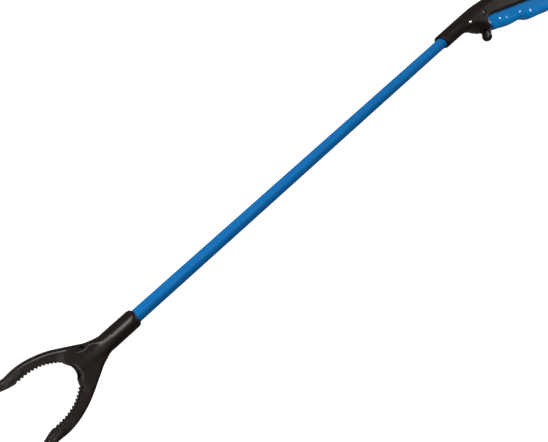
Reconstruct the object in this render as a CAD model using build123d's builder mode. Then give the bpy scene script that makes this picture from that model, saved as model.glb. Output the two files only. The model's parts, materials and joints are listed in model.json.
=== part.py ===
from build123d import *

import os
from math import asin, cos, degrees, radians, sin

os.makedirs("parts", exist_ok=True)

# Reacher grabber, lying on the right side of its handle.
# +X runs along the shaft from the jaws to the handle, +Y is the top of the handle,
# +Z is the left side. The origin is on the floor straight under the shaft's rear end.
# All sizes are in millimetres.

# Shaft tube and the rod inside it
SHAFT_OD = 12.7
SHAFT_WALL = 0.9
SHAFT_R = SHAFT_OD / 2
SHAFT_BORE_R = SHAFT_R - SHAFT_WALL
SHAFT_VISIBLE = 482.0
SLIP = 0.05
ROD_R = 1.5
HANDLE_T = 24.0
SHAFT_Z = HANDLE_T / 2
MID = Plane.XY.offset(SHAFT_Z)

# Handle: where its mouth is and how far the shaft goes in
MOUTH_X = -52.0
COLLAR_REAR = -2.0
HEAD_X = MOUTH_X - SHAFT_VISIBLE - COLLAR_REAR
HEAD_DEPTH = 24.0
SHAFT_LENGTH = HEAD_DEPTH - HEAD_X
HEAD = Plane((HEAD_X, 0, SHAFT_Z))
SHAFT_AXIS = Axis((0, 0, SHAFT_Z), (1, 0, 0))

# Trigger: pivot, drive pin and travel
TRIGGER_PIVOT = (20.0, -3.0)
TRIGGER_ARM = 12.9
TRIGGER_TRAVEL = 12.0
TRIGGER_PIN_R = 2.5
DRIVE_PIN_R = 1.5
TRIGGER_T = 16.0
FORK_GAP = 8.8
ROD_TRAVEL = 2 * TRIGGER_ARM * sin(radians(TRIGGER_TRAVEL / 2))
DRIVE_PIN = (
    TRIGGER_PIVOT[0] - ROD_TRAVEL / 2,
    TRIGGER_PIVOT[1] - TRIGGER_ARM * cos(radians(TRIGGER_TRAVEL / 2)),
)

# Jaws: pivots, tails and travel, measured from the end of the head's collar
JAW_PIVOT = (-62.0, 9.0)
JAW_ARM = 6.4
JAW_HALF_SWING = degrees(asin(ROD_TRAVEL / 2 / JAW_ARM))
JAW_PIN_R = 2.0
TAIL_PIN_R = 1.2
TAIL_PIN_X = JAW_PIVOT[0] - ROD_TRAVEL / 2
TAIL_PIN_Y = JAW_PIVOT[1] - JAW_ARM * (1 + cos(radians(JAW_HALF_SWING))) / 2
TAIL_END_R = 2.3
JAW_T = 13.0
TONGUE_T = 8.4
TOOTH_COUNT = 12
TOOTH_DEPTH = 0.9

# Head: collar, cheeks and the cavity between them
HEAD_T = 14.6
COLLAR_R = 8.9
COLLAR_END_R = 4.0
CHEEK_GAP = 9.0
CHEEK_EDGE_R = 11.2
SHOULDER_R = 11.7
SPRING_BORE_R = 4.9
GUIDE_FLANGE = 2.0
WALL = 2.7

print("rod travel", round(ROD_TRAVEL, 3), "jaw swing", round(2 * JAW_HALF_SWING, 3))


def around(centre, radius, angle):
    """The point at this radius and angle in degrees around a centre in a sketch."""
    return (
        centre[0] + radius * cos(radians(angle)),
        centre[1] + radius * sin(radians(angle)),
    )


def save(builder, name):
    """Labels a finished piece and writes its STEP file."""
    builder.part.label = name
    export_step(builder.part, f"parts/{name}.step")


def across(x, y=0.0):
    """A sketch plane across the shaft at x, facing the handle."""
    return Plane((x, y, SHAFT_Z), x_dir=(0, 1, 0), z_dir=(1, 0, 0))


# Shaft ------------------------------------------------------------------

RIVET_AT = (-6.5, -1.5)
RIVET_R = 1.6
RIVET_HEAD_R = 2.5
RIVET_HEAD_T = 1.1
RIVET_TIP = 3.4
LOCK_SCREW_X = HEAD_X - 9.0
LOCK_SCREW_R = 1.4
LOCK_SCREW_L = 3.6
LOCK_SCREW_PROUD = 0.4

with BuildPart() as shaft_tube:
    with BuildSketch(across(HEAD_X - HEAD_DEPTH)):
        Circle(SHAFT_R)
        Circle(SHAFT_BORE_R, mode=Mode.SUBTRACT)
    extrude(amount=SHAFT_LENGTH)
    with BuildSketch(MID.offset(-SHAFT_R)):
        with Locations((LOCK_SCREW_X, 0)):
            Circle(LOCK_SCREW_R + SLIP)
    extrude(amount=SHAFT_R, mode=Mode.SUBTRACT)
    with BuildSketch(MID):
        with Locations(RIVET_AT):
            Circle(RIVET_R + SLIP)
    extrude(amount=SHAFT_R, both=True, mode=Mode.SUBTRACT)
save(shaft_tube, "shaft_tube")

SHANK_R = 2.8
SHANK_FRONT = HEAD_X - 60.0
SHANK_REAR = HEAD_X - 50.0
ROD_FRONT = SHANK_FRONT + 1.5
BLOCK_FRONT = 4.4
BLOCK_REAR = 14.0
ROD_REAR = BLOCK_REAR - 1.5

with BuildPart() as pull_rod:
    with BuildSketch(across(ROD_FRONT)):
        Circle(ROD_R)
    extrude(amount=ROD_REAR - ROD_FRONT)
    chamfer(pull_rod.edges().filter_by(GeomType.CIRCLE), 0.3)
save(pull_rod, "pull_rod")


def rod_guide(flange_x, inward):
    """A flanged bush in one end of the shaft; inward is the direction into the tube."""
    with BuildPart() as guide:
        with BuildSketch(across(flange_x)):
            Circle(SHAFT_R - 0.15)
        extrude(amount=-inward * GUIDE_FLANGE)
        with BuildSketch(across(flange_x)):
            Circle(SHAFT_BORE_R - SLIP)
        extrude(amount=inward * 4 * GUIDE_FLANGE)
        with BuildSketch(across(flange_x)):
            Circle(ROD_R + 0.06)
        extrude(amount=10 * GUIDE_FLANGE, both=True, mode=Mode.SUBTRACT)
    return guide


front_rod_guide = rod_guide(HEAD_X - HEAD_DEPTH, 1)
save(front_rod_guide, "front_rod_guide")

rear_blank = rod_guide(0.0, -1)
with BuildPart() as rear_rod_guide:
    add(rear_blank.part)
    for side in (1, -1):
        with BuildSketch(MID.offset(side * (RIVET_TIP - 0.2))):
            with Locations(RIVET_AT):
                Circle(RIVET_R + SLIP)
        extrude(amount=side * SHAFT_R, mode=Mode.SUBTRACT)
save(rear_rod_guide, "rear_rod_guide")

# Rod ends and the return spring ------------------------------------------

PLATE_T = 2.4
PLATE_HALF_W = TAIL_PIN_Y + TAIL_END_R

with BuildPart() as jaw_crosshead:
    with BuildSketch(HEAD.offset(-PLATE_T / 2)):
        with Locations(((TAIL_PIN_X - TAIL_END_R + SHANK_FRONT + 4 - HEAD_X) / 2, 0)):
            RectangleRounded(
                SHANK_FRONT + 4 - HEAD_X - TAIL_PIN_X + TAIL_END_R, 2 * PLATE_HALF_W, 1.8
            )
    extrude(amount=PLATE_T)
    with BuildSketch(across(SHANK_FRONT)):
        Circle(SHANK_R)
    extrude(amount=SHANK_REAR - SHANK_FRONT)
    with BuildSketch(across(ROD_FRONT)):
        Circle(ROD_R)
    extrude(amount=SHANK_REAR - SHANK_FRONT, mode=Mode.SUBTRACT)
    with BuildSketch(HEAD.offset(-PLATE_T)):
        with Locations((TAIL_PIN_X, TAIL_PIN_Y), (TAIL_PIN_X, -TAIL_PIN_Y)):
            Circle(TAIL_PIN_R)
    extrude(amount=2 * PLATE_T, mode=Mode.SUBTRACT)
save(jaw_crosshead, "jaw_crosshead")

TAIL_PIN_L = TONGUE_T - 0.2

with BuildPart() as crosshead_pins:
    with BuildSketch(HEAD.offset(-TAIL_PIN_L / 2)):
        with Locations((TAIL_PIN_X, TAIL_PIN_Y), (TAIL_PIN_X, -TAIL_PIN_Y)):
            Circle(TAIL_PIN_R)
    extrude(amount=TAIL_PIN_L)
    chamfer(crosshead_pins.edges().filter_by(GeomType.CIRCLE), 0.2)
save(crosshead_pins, "crosshead_pins")

WASHER_T = 0.8

with BuildPart() as spring_washer:
    with BuildSketch(across(SHANK_REAR)):
        Circle(SPRING_BORE_R - 0.4)
        Circle(ROD_R + SLIP, mode=Mode.SUBTRACT)
    extrude(amount=WASHER_T)
save(spring_washer, "spring_washer")

SPRING_WIRE_R = 0.45
SPRING_R = 3.6
SPRING_TURNS = 7
SPRING_FRONT = SHANK_REAR + WASHER_T + SPRING_WIRE_R + 0.02
SPRING_REAR = HEAD_X - HEAD_DEPTH - GUIDE_FLANGE - SPRING_WIRE_R - 0.02
SPRING_PITCH = (SPRING_REAR - SPRING_FRONT) / SPRING_TURNS

with BuildPart() as jaw_return_spring:
    with BuildLine() as coil:
        Helix(
            SPRING_PITCH,
            SPRING_REAR - SPRING_FRONT,
            SPRING_R,
            center=(SPRING_FRONT, 0, SHAFT_Z),
            direction=(1, 0, 0),
        )
    with BuildSketch(Plane(coil.line @ 0, z_dir=coil.line % 0)):
        Circle(SPRING_WIRE_R)
    sweep(path=coil.line)
save(jaw_return_spring, "jaw_return_spring")

EYE_R = 4.0
BLOCK_R = 4.0
BLOCK_T = 2 * BLOCK_R

with BuildPart() as rod_end_block:
    with BuildSketch(across(BLOCK_FRONT)):
        Circle(BLOCK_R)
    extrude(amount=BLOCK_REAR - BLOCK_FRONT)
    with BuildSketch(MID.offset(-BLOCK_T / 2)):
        with BuildLine():
            Polyline(
                (BLOCK_FRONT, 0),
                (BLOCK_REAR - 1, 0),
                (BLOCK_REAR - 1, -6.5),
                around(DRIVE_PIN, EYE_R, 42),
                DRIVE_PIN,
                around(DRIVE_PIN, EYE_R, 200),
                (BLOCK_FRONT, -7),
                close=True,
            )
        make_face()
        with Locations(DRIVE_PIN):
            Circle(EYE_R)
    extrude(amount=BLOCK_T)
    with BuildSketch(MID.offset(-BLOCK_T / 2)):
        with Locations(DRIVE_PIN):
            SlotCenterToCenter(0.3, 2 * (DRIVE_PIN_R + SLIP), rotation=90)
    extrude(amount=BLOCK_T, mode=Mode.SUBTRACT)
    with BuildSketch(across(BLOCK_FRONT)):
        Circle(ROD_R)
    extrude(amount=ROD_REAR - BLOCK_FRONT, mode=Mode.SUBTRACT)
save(rod_end_block, "rod_end_block")

NUT_T = 2.0
NUT_FLATS = 5.5

with BuildPart() as rod_jam_nut:
    with BuildSketch(across(BLOCK_FRONT - NUT_T)):
        RegularPolygon(NUT_FLATS / 2, 6, major_radius=False)
        Circle(ROD_R, mode=Mode.SUBTRACT)
    extrude(amount=NUT_T)
save(rod_jam_nut, "rod_jam_nut")

# Head: two half shells ----------------------------------------------------

NECK_X = -36.0
CHEEK_X = -56.0
SLOT_X = -53.5
MOUTH_WALL_T = 2.0
HEAD_EDGE_R = 1.8
CHEEK_OUTER = around(JAW_PIVOT, CHEEK_EDGE_R, 103.5)
CHEEK_MID = around(JAW_PIVOT, CHEEK_EDGE_R, 145)
CHEEK_INNER = around(JAW_PIVOT, CHEEK_EDGE_R, 187)
MOUTH_BOTTOM = -70.5
HEAD_SCREW_AT = (-48.3, 7.4)
SCREW_R = 1.25
SCREW_HEAD_R = 2.4
SCREW_HEAD_T = 1.6
SCREW_RECESS_R = SCREW_HEAD_R + 0.3
SCREW_SUNK = 0.4
HEAD_SCREW_L = 10.5
BLIND_DEPTH = 1.8

with BuildPart() as cheek_plate:
    with BuildSketch(HEAD):
        with BuildLine():
            edge = Spline(
                (NECK_X, 8.2),
                (-44, 9.6),
                (-51, 12.1),
                (-57, 15.6),
                CHEEK_OUTER,
                tangents=((-1, 0.1), (-0.83, 0.55)),
            )
            ThreePointArc(edge @ 1, CHEEK_MID, CHEEK_INNER)
            Spline(
                CHEEK_INNER,
                (-71.2, 4.2),
                (MOUTH_BOTTOM, 0),
                tangents=((0.7, -0.7), (0, -1)),
            )
            Line((MOUTH_BOTTOM, 0), (NECK_X, 0))
            Line((NECK_X, 0), (NECK_X, 8.2))
        make_face()
        mirror(about=Plane.XZ)
    extrude(amount=HEAD_T / 2)
    rim = cheek_plate.faces().sort_by(Axis.Z)[-1].edges()
    fillet(rim.filter_by(lambda e: e.length > 25), HEAD_EDGE_R)
    # turned round the shaft at the neck, opening out into the flat cheeks
    with BuildSketch(Plane((HEAD_X, 0, SHAFT_Z), x_dir=(1, 0, 0), z_dir=(0, -1, 0))):
        with BuildLine():
            Line((NECK_X, 0), (NECK_X, COLLAR_R - 0.3))
            Spline(
                (NECK_X, COLLAR_R - 0.3),
                (-47, 12),
                (-58, 34),
                tangents=((-1, 0.05), (-0.3, 0.95)),
            )
            Polyline((-58, 34), (-100, 60), (-100, 0), (NECK_X, 0))
        make_face()
    revolve(axis=SHAFT_AXIS, mode=Mode.INTERSECT)

with BuildPart() as head_half:
    with BuildSketch(Plane((HEAD_X, 0, SHAFT_Z), x_dir=(1, 0, 0), z_dir=(0, -1, 0))):
        with BuildLine():
            Line((CHEEK_X, 0), (COLLAR_REAR, 0))
            Line((COLLAR_REAR, 0), (COLLAR_REAR, COLLAR_R - COLLAR_END_R))
            end = JernArc((COLLAR_REAR, COLLAR_R - COLLAR_END_R), (0, 1), COLLAR_END_R, 90)
            Line(end @ 1, (-30, COLLAR_R))
            Spline((-30, COLLAR_R), (CHEEK_X, HEAD_T / 2), tangents=((-1, 0), (-1, 0)))
            Line((CHEEK_X, HEAD_T / 2), (CHEEK_X, 0))
        make_face()
    revolve(axis=SHAFT_AXIS)
    split(bisect_by=MID, keep=Keep.TOP)
    add(cheek_plate.part)
    with BuildSketch(across(HEAD_X - HEAD_DEPTH - GUIDE_FLANGE)):
        Circle(SHAFT_R + SLIP)
    extrude(amount=HEAD_DEPTH + 2 * GUIDE_FLANGE, mode=Mode.SUBTRACT)
    with BuildSketch(across(HEAD_X - HEAD_DEPTH - GUIDE_FLANGE)):
        Circle(SPRING_BORE_R)
    extrude(amount=CHEEK_X + HEAD_DEPTH + GUIDE_FLANGE, mode=Mode.SUBTRACT)
    with BuildSketch(HEAD):
        with Locations((SLOT_X - 20, 0)):
            Rectangle(40, 80)
        with Locations((MOUTH_BOTTOM + MOUTH_WALL_T / 2, 0)):
            Rectangle(MOUTH_WALL_T, 4, mode=Mode.SUBTRACT)
    extrude(amount=CHEEK_GAP / 2, mode=Mode.SUBTRACT)
    with BuildSketch(HEAD):
        with Locations(JAW_PIVOT, (JAW_PIVOT[0], -JAW_PIVOT[1])):
            Circle(JAW_PIN_R)
    extrude(amount=CHEEK_GAP / 2 + BLIND_DEPTH, mode=Mode.SUBTRACT)

HEAD_SCREWS = (HEAD_SCREW_AT, (HEAD_SCREW_AT[0], -HEAD_SCREW_AT[1]))

with BuildPart() as head_shell_left:
    add(head_half.part)
    with BuildSketch(HEAD):
        with Locations(*HEAD_SCREWS):
            Circle(SCREW_R)
    extrude(amount=HEAD_SCREW_L - HEAD_T / 2 + SCREW_HEAD_T, mode=Mode.SUBTRACT)
save(head_shell_left, "head_shell_left")

with BuildPart() as head_shell_right:
    mirror(head_half.part, about=MID)
    with BuildSketch(HEAD):
        with Locations(*HEAD_SCREWS):
            Circle(SCREW_R + SLIP)
    extrude(amount=-HEAD_T, mode=Mode.SUBTRACT)
    with BuildSketch(HEAD.offset(-HEAD_T / 2)):
        with Locations(*HEAD_SCREWS):
            Circle(SCREW_RECESS_R)
    extrude(amount=SCREW_HEAD_T + SCREW_SUNK, mode=Mode.SUBTRACT)
    with BuildSketch(MID):
        with Locations((LOCK_SCREW_X, 0)):
            Circle(LOCK_SCREW_R + SLIP)
    extrude(amount=-HEAD_T, mode=Mode.SUBTRACT)
    with BuildSketch(MID.offset(-COLLAR_R)):
        with Locations((LOCK_SCREW_X, 0)):
            Circle(SCREW_RECESS_R)
    extrude(amount=SCREW_HEAD_T - LOCK_SCREW_PROUD, mode=Mode.SUBTRACT)
save(head_shell_right, "head_shell_right")


def pan_head_screws(places, head_z, length):
    """Pan-head screws, heads down: head_z is the outer face of the heads."""
    with BuildPart() as screws:
        with BuildSketch(Plane.XY.offset(head_z)):
            with Locations(*places):
                Circle(SCREW_HEAD_R)
        extrude(amount=SCREW_HEAD_T)
        fillet(screws.faces().filter_by(Axis.Z).group_by(Axis.Z)[0].edges(), 0.6)
        with BuildSketch(Plane.XY.offset(head_z)):
            with Locations(*places):
                Circle(SCREW_R - 0.05)
        extrude(amount=length)
        with BuildSketch(Plane.XY.offset(head_z)):
            with Locations(*places):
                Rectangle(2.6, 0.6)
                Rectangle(0.6, 2.6)
        extrude(amount=0.8, mode=Mode.SUBTRACT)
    return screws


head_screw_places = [(HEAD_X + x, y) for x, y in HEAD_SCREWS]
head_screws = pan_head_screws(
    head_screw_places, SHAFT_Z - HEAD_T / 2 + SCREW_SUNK, HEAD_SCREW_L
)
save(head_screws, "head_screws")

head_lock_screw = pan_head_screws(
    [(LOCK_SCREW_X, 0)], SHAFT_Z - COLLAR_R - LOCK_SCREW_PROUD, LOCK_SCREW_L
)
save(head_lock_screw, "head_lock_screw")

with BuildPart() as jaw_pivot_pins:
    with BuildSketch(HEAD.offset(-CHEEK_GAP / 2 - BLIND_DEPTH)):
        with Locations(JAW_PIVOT, (JAW_PIVOT[0], -JAW_PIVOT[1])):
            Circle(JAW_PIN_R)
    extrude(amount=CHEEK_GAP + 2 * BLIND_DEPTH)
save(jaw_pivot_pins, "jaw_pivot_pins")

# Jaws ---------------------------------------------------------------------

JAW_EDGE_R = 2.6
SHOULDER_OUTER = around(JAW_PIVOT, SHOULDER_R, 104.5)
SHOULDER_MID = around(JAW_PIVOT, SHOULDER_R, 145)
SHOULDER_INNER = around(JAW_PIVOT, SHOULDER_R, 185)
TEETH_START = (-76.0, 15.3)
TEETH_END = (-112.0, 26.9)
TONGUE_R = 6.0
CROSSHEAD_CLEAR_R = 3.7

with BuildPart() as upper_jaw:
    # the arm beyond the cheeks
    with BuildSketch(HEAD.offset(-JAW_T / 2)):
        with BuildLine():
            outer = Spline(
                SHOULDER_OUTER,
                (-70, 23.3),
                (-78, 27.7),
                (-89, 31.9),
                (-102, 34.6),
                (-111, 34.9),
                (-118, 34.3),
                tangents=((-0.85, 0.53), (-1, -0.02)),
            )
            flare = Spline(
                outer @ 1, (-127, 36.4), (-136, 40.2), tangents=((-1, 0.06), (-0.88, 0.47))
            )
            tip = ThreePointArc(flare @ 1, (-139.4, 38.0), (-138.2, 33.9))
            pad = Spline(
                tip @ 1,
                (-127.4, 29.5),
                (-121, 27.3),
                (-114.2, 25.9),
                tangents=((0.93, -0.36), (0.99, -0.1)),
            )
            Line(pad @ 1, TEETH_END)
            root = Spline(
                TEETH_END,
                (-108, 27.0),
                (-101.5, 26.7),
                (-94.8, 25.4),
                (-88.6, 23.3),
                (-82, 19.7),
                TEETH_START,
            )
            Spline(TEETH_START, (-75.0, 11.8), SHOULDER_INNER)
            ThreePointArc(SHOULDER_INNER, SHOULDER_MID, SHOULDER_OUTER)
        make_face()
    extrude(amount=JAW_T)
    rim = upper_jaw.edges().filter_by_position(
        Axis.Y, 27, 60
    ).filter_by(lambda e: abs(e.center().Z - SHAFT_Z) > JAW_T / 2 - 0.01)
    outer_rim = rim.filter_by(lambda e: e.length > 20 and e.center().Y > 30)
    fillet(outer_rim, JAW_EDGE_R)
    # saw teeth along the inner edge
    with BuildSketch(HEAD.offset(-JAW_T / 2)):
        for tooth in range(TOOTH_COUNT):
            at = (tooth + 0.5) / TOOTH_COUNT
            foot, along = root @ at, root % at
            inward = Vector(-along.Y, along.X) * -1
            half = along * (root.length / TOOTH_COUNT / 2)
            with BuildLine():
                Polyline(
                    foot - half - inward * 0.6,
                    foot - half,
                    foot + half * 0.3 + inward * TOOTH_DEPTH,
                    foot + half,
                    foot + half - inward * 0.6,
                    close=True,
                )
            make_face()
    extrude(amount=JAW_T)
    # the tongue between the cheeks, and its tail
    with BuildSketch(HEAD.offset(-TONGUE_T / 2)):
        with BuildLine():
            Polyline(
                (-66.2, 4.8),
                (-73.2, 8.8),
                (-74.2, 13.5),
                (-72.8, 17.8),
                (-70.2, 19.4),
                (-66.8, 16.4),
                (-60.0, 14.6),
                close=True,
            )
        make_face()
        with Locations(JAW_PIVOT):
            Circle(TONGUE_R)
        with Locations(around(JAW_PIVOT, JAW_ARM / 2, 270 - JAW_HALF_SWING)):
            SlotCenterToCenter(JAW_ARM, 2 * TAIL_END_R, rotation=90 - JAW_HALF_SWING)
    extrude(amount=TONGUE_T)
    with BuildSketch(HEAD.offset(-TONGUE_T / 2)):
        with Locations(JAW_PIVOT):
            Circle(JAW_PIN_R + SLIP)
        with Locations(around(JAW_PIVOT, JAW_ARM, 270 - JAW_HALF_SWING)):
            SlotCenterToCenter(0.3, 2 * (TAIL_PIN_R + SLIP), rotation=90 - JAW_HALF_SWING)
    extrude(amount=TONGUE_T, mode=Mode.SUBTRACT)
    with BuildSketch(HEAD.offset(-PLATE_T / 2 - 0.3)):
        with Locations((JAW_PIVOT[0], JAW_PIVOT[1] - 7.2)):
            Rectangle(24, 10)
        with Locations(JAW_PIVOT):
            Circle(CROSSHEAD_CLEAR_R, mode=Mode.SUBTRACT)
    extrude(amount=PLATE_T + 0.6, mode=Mode.SUBTRACT)
save(upper_jaw, "upper_jaw")

with BuildPart() as lower_jaw:
    mirror(upper_jaw.part, about=Plane.XZ)
save(lower_jaw, "lower_jaw")

# Handle: two half shells ----------------------------------------------------

MOUTH_TOP = 9.7
MOUTH_LOW = -8.3
MOUTH_R = (MOUTH_TOP - MOUTH_LOW) / 2
MOUTH_Y = (MOUTH_TOP + MOUTH_LOW) / 2
MOUTH_RAKE = 2.2
BUTT_X = 158.0
HANDLE_EDGE_R = 3.0
KNOB_R = 6.0
KNOB_AT = (17.3, -31.8)
KNOB_NECK_T = 9.2
KNOB_NECK_R = 5.7
KNOB_LEAN = -23.0
CHANNEL_HALF = SHAFT_Z - WALL
HANDLE_SCREWS = ((-0.8, -9.7), (38.0, 1.6), (96.0, -7.0), (150.0, -18.0))
BOSS_R = 2.6
HANDLE_SCREW_L = 16.0
HANDLE_SCREW_SEAT = 2.3


def handle_half(side):
    """One half shell of the handle before its screw holes; side is 1 for left, -1 for right."""
    with BuildPart() as half:
        with BuildSketch(MID):
            with BuildLine():
                Line((MOUTH_X - MOUTH_RAKE, MOUTH_TOP), (8, MOUTH_TOP))
                crown = Spline(
                    (8, MOUTH_TOP),
                    (42, 7.3),
                    (90, -0.6),
                    (134, -7.4),
                    tangents=((1, 0), (0.98, -0.16)),
                )
                butt = Spline(
                    crown @ 1, (BUTT_X, -23), (146, -43.5), tangents=((0.98, -0.16), (-0.95, 0.2))
                )
                Line(butt @ 1, (94, -28.3))
                Polyline((94, -28.3), (46, -15.7), (24.5, -11.4), (22.4, -17), (19.6, -22.6), (16.4, -24.6))
                front = Spline(
                    (16.4, -24.6),
                    (4.4, -14.6),
                    (-13, -9.2),
                    (-26, MOUTH_LOW),
                    tangents=((-0.7, 0.7), (-1, 0)),
                )
                Line(front @ 1, (MOUTH_X + MOUTH_RAKE, MOUTH_LOW))
                Line((MOUTH_X + MOUTH_RAKE, MOUTH_LOW), (MOUTH_X - MOUTH_RAKE, MOUTH_TOP))
            make_face()
        extrude(amount=side * HANDLE_T / 2)
        outer_face = half.faces().sort_by(Axis.Z)[-1 if side > 0 else 0]
        fillet(outer_face.edges().filter_by(lambda e: e.length > 20), HANDLE_EDGE_R)
        # the mouth end is turned round the shaft and opens out into the flat sides
        with BuildSketch(Plane((0, MOUTH_Y, SHAFT_Z), x_dir=(1, 0, 0), z_dir=(0, -1, 0))):
            with BuildLine():
                Line((MOUTH_X - MOUTH_R, 0), (MOUTH_X - MOUTH_R, MOUTH_R))
                Line((MOUTH_X - MOUTH_R, MOUTH_R), (-36, MOUTH_R + 0.2))
                Spline((-36, MOUTH_R + 0.2), (-14, 14), (8, 40), tangents=((1, 0.02), (0.4, 0.9)))
                Line((8, 40), (BUTT_X + 10, 90))
                Line((BUTT_X + 10, 90), (BUTT_X + 10, 0))
                Line((BUTT_X + 10, 0), (MOUTH_X - MOUTH_R, 0))
            make_face()
        revolve(axis=Axis((0, MOUTH_Y, SHAFT_Z), (1, 0, 0)), mode=Mode.INTERSECT)
        # channel for the rod block and the trigger
        with BuildSketch(MID):
            with BuildLine():
                Polyline(
                    (GUIDE_FLANGE, MOUTH_TOP - WALL),
                    (12, MOUTH_TOP - WALL),
                    (42, 4.2),
                    (90, -3.6),
                    (134, -10.6),
                    (146, -13.5),
                    (152.5, -22),
                    (152, -60),
                    (30, -60),
                    (17.4, -21.4),
                    (7.4, -12.6),
                    (GUIDE_FLANGE, -8),
                    close=True,
                )
            make_face()
        extrude(amount=side * CHANNEL_HALF, mode=Mode.SUBTRACT)
        # screw bosses
        with BuildSketch(MID):
            with Locations(*HANDLE_SCREWS[1:]):
                Circle(BOSS_R)
        extrude(amount=side * (CHANNEL_HALF + 0.5))
        with BuildSketch(across(MOUTH_X - MOUTH_R)):
            Circle(SHAFT_R + SLIP)
        extrude(amount=GUIDE_FLANGE - MOUTH_X + MOUTH_R, mode=Mode.SUBTRACT)
        # finger knob hanging from the front corner
        with BuildSketch(Plane((*KNOB_AT, SHAFT_Z), x_dir=(0, 1, 0), z_dir=(0, 0, 1))):
            with BuildLine():
                CenterArc((0, 0), KNOB_R, 90, -180)
                Line((0, -KNOB_R), (0, KNOB_R))
            make_face()
        revolve(axis=Axis((*KNOB_AT, SHAFT_Z), (1, 0, 0)))
        split(bisect_by=MID, keep=Keep.TOP if side > 0 else Keep.BOTTOM)
        with BuildSketch(MID):
            with BuildLine():
                Polyline(
                    (11.9, -19.2),
                    (22.4, -23),
                    (25.0, -28.6),
                    around(KNOB_AT, KNOB_NECK_R, KNOB_LEAN),
                    around(KNOB_AT, KNOB_NECK_R, KNOB_LEAN + 180),
                    close=True,
                )
            make_face()
        extrude(amount=side * KNOB_NECK_T / 2)
        with BuildSketch(MID):
            with Locations(TRIGGER_PIVOT):
                Circle(TRIGGER_PIN_R)
        extrude(amount=side * HANDLE_T / 2, mode=Mode.SUBTRACT)
        with BuildSketch(MID):
            with Locations(RIVET_AT):
                Circle(RIVET_R)
        extrude(amount=side * HANDLE_T / 2, mode=Mode.SUBTRACT)
        with BuildSketch(MID.offset(side * (HANDLE_T / 2 - RIVET_HEAD_T))):
            with Locations(RIVET_AT):
                Circle(RIVET_HEAD_R + 0.3)
            with Locations(TRIGGER_PIVOT):
                Circle(TRIGGER_PIN_R + 1.3)
        extrude(amount=side * RIVET_HEAD_T, mode=Mode.SUBTRACT)
    return half


left_half = handle_half(1)
right_half = handle_half(-1)

with BuildPart() as handle_shell_left:
    add(left_half.part)
    with BuildSketch(MID):
        with Locations(*HANDLE_SCREWS):
            Circle(SCREW_R)
    extrude(amount=HANDLE_SCREW_L + HANDLE_SCREW_SEAT - SHAFT_Z + 0.5, mode=Mode.SUBTRACT)
save(handle_shell_left, "handle_shell_left")

with BuildPart() as handle_shell_right:
    add(right_half.part)
    with BuildSketch(Plane.XY):
        with Locations(*HANDLE_SCREWS):
            Circle(SCREW_RECESS_R)
    extrude(amount=HANDLE_SCREW_SEAT, mode=Mode.SUBTRACT)
    with BuildSketch(Plane.XY):
        with Locations(*HANDLE_SCREWS):
            Circle(SCREW_R + SLIP)
    extrude(amount=SHAFT_Z, mode=Mode.SUBTRACT)
save(handle_shell_right, "handle_shell_right")

handle_screws = pan_head_screws(
    HANDLE_SCREWS, HANDLE_SCREW_SEAT - SCREW_HEAD_T, HANDLE_SCREW_L
)
save(handle_screws, "handle_screws")

with BuildPart() as shaft_rivets:
    for side in (1, -1):
        seat = side * (HANDLE_T / 2 - RIVET_HEAD_T)
        with BuildSketch(MID.offset(side * RIVET_TIP)):
            with Locations(RIVET_AT):
                Circle(RIVET_R - SLIP)
        extrude(amount=seat - side * RIVET_TIP)
        with BuildSketch(MID.offset(seat)):
            with Locations(RIVET_AT):
                Circle(RIVET_HEAD_R)
        extrude(amount=side * RIVET_HEAD_T)
    domes = shaft_rivets.edges().filter_by(GeomType.CIRCLE).group_by(Axis.Z)
    fillet(domes[0] + domes[-1], 0.7)
save(shaft_rivets, "shaft_rivets")

# Trigger and its pins -------------------------------------------------------

TRIGGER_EDGE_R = 5.0
TRIGGER_SKIN = 2.6
TROUGH_T = 10.6

with BuildPart() as trigger:
    with BuildSketch(MID.offset(-TRIGGER_T / 2)):
        with BuildLine():
            lip = Spline(
                (28.4, -29.6),
                (41, -33.6),
                (57, -39),
                (76, -42.7),
                (84, -45.4),
                (92, -50.3),
                (101, -53.5),
                (114, -56.5),
                (133, -61.6),
                tangents=((0.93, -0.36), (0.96, -0.26)),
            )
            heel = ThreePointArc(lip @ 1, (141.6, -57), (140, -45))
            Line(heel @ 1, (133, -36.4))
            Polyline((133, -36.4), (93, -26), (60, -15.5), (27, -7.6), TRIGGER_PIVOT)
            Polyline(TRIGGER_PIVOT, (14.6, -14.5), (14.4, -18), (17.2, -20), (24.8, -21.4))
            Polyline((24.8, -21.4), (27.4, -27.2), (28.4, -29.6))
        make_face()
        with Locations(TRIGGER_PIVOT):
            Circle(6)
        with Locations(DRIVE_PIN):
            Circle(4.6)
    extrude(amount=TRIGGER_T)
    lip_edges = trigger.edges().filter_by(
        lambda e: e.length > 60 and e.center().Y < -38
    )
    fillet(lip_edges, TRIGGER_EDGE_R)
    with BuildSketch(MID.offset(-TROUGH_T / 2)):
        with BuildLine():
            Polyline(
                (33, 0),
                (33, -27.2),
                (57, -35.2),
                (80, -40),
                (100, -49),
                (134, -57.6),
                (137, -46),
                (134, 0),
                close=True,
            )
        make_face()
        for rib_x in (58, 84, 110):
            with Locations((rib_x, -30)):
                Rectangle(2, 60, mode=Mode.SUBTRACT)
    extrude(amount=TROUGH_T, mode=Mode.SUBTRACT)
    with BuildSketch(MID.offset(-FORK_GAP / 2)):
        with Locations((13.5, -6.5)):
            Rectangle(28, 33)
    extrude(amount=FORK_GAP, mode=Mode.SUBTRACT)
    with BuildSketch(MID.offset(-TRIGGER_T / 2)):
        with Locations(TRIGGER_PIVOT):
            Circle(TRIGGER_PIN_R + SLIP)
        with Locations(DRIVE_PIN):
            Circle(DRIVE_PIN_R)
    extrude(amount=TRIGGER_T, mode=Mode.SUBTRACT)
save(trigger, "trigger")

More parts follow.
